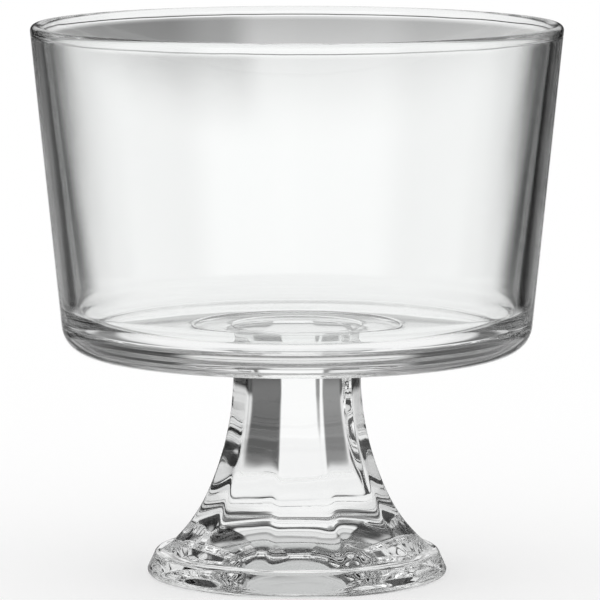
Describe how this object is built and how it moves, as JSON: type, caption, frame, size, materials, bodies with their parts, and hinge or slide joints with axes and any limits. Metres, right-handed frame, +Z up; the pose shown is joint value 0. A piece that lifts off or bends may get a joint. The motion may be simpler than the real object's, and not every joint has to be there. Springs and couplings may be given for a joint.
{
  "type": "footed trifle bowl",
  "caption": "Clear pressed-glass bowl with a thick floor and nearly straight walls, fused onto a solid foot with flat flared panels and a round base ring, hollowed out underneath.",
  "frame": {"origin": "middle of the plane that the base ring rests on", "axes": "+Z up along the bowl's axis, -Y towards the picture's camera"},
  "size_m": [0.222, 0.222, 0.2315],
  "materials": {
    "bowl_glass": "clear fire-polished pressed glass",
    "foot_glass": "clear pressed glass with soft mould ripples"
  },
  "bodies": {
    "root": {"bowl": "bowl_glass", "foot": "foot_glass"}
  },
  "joints": []
}
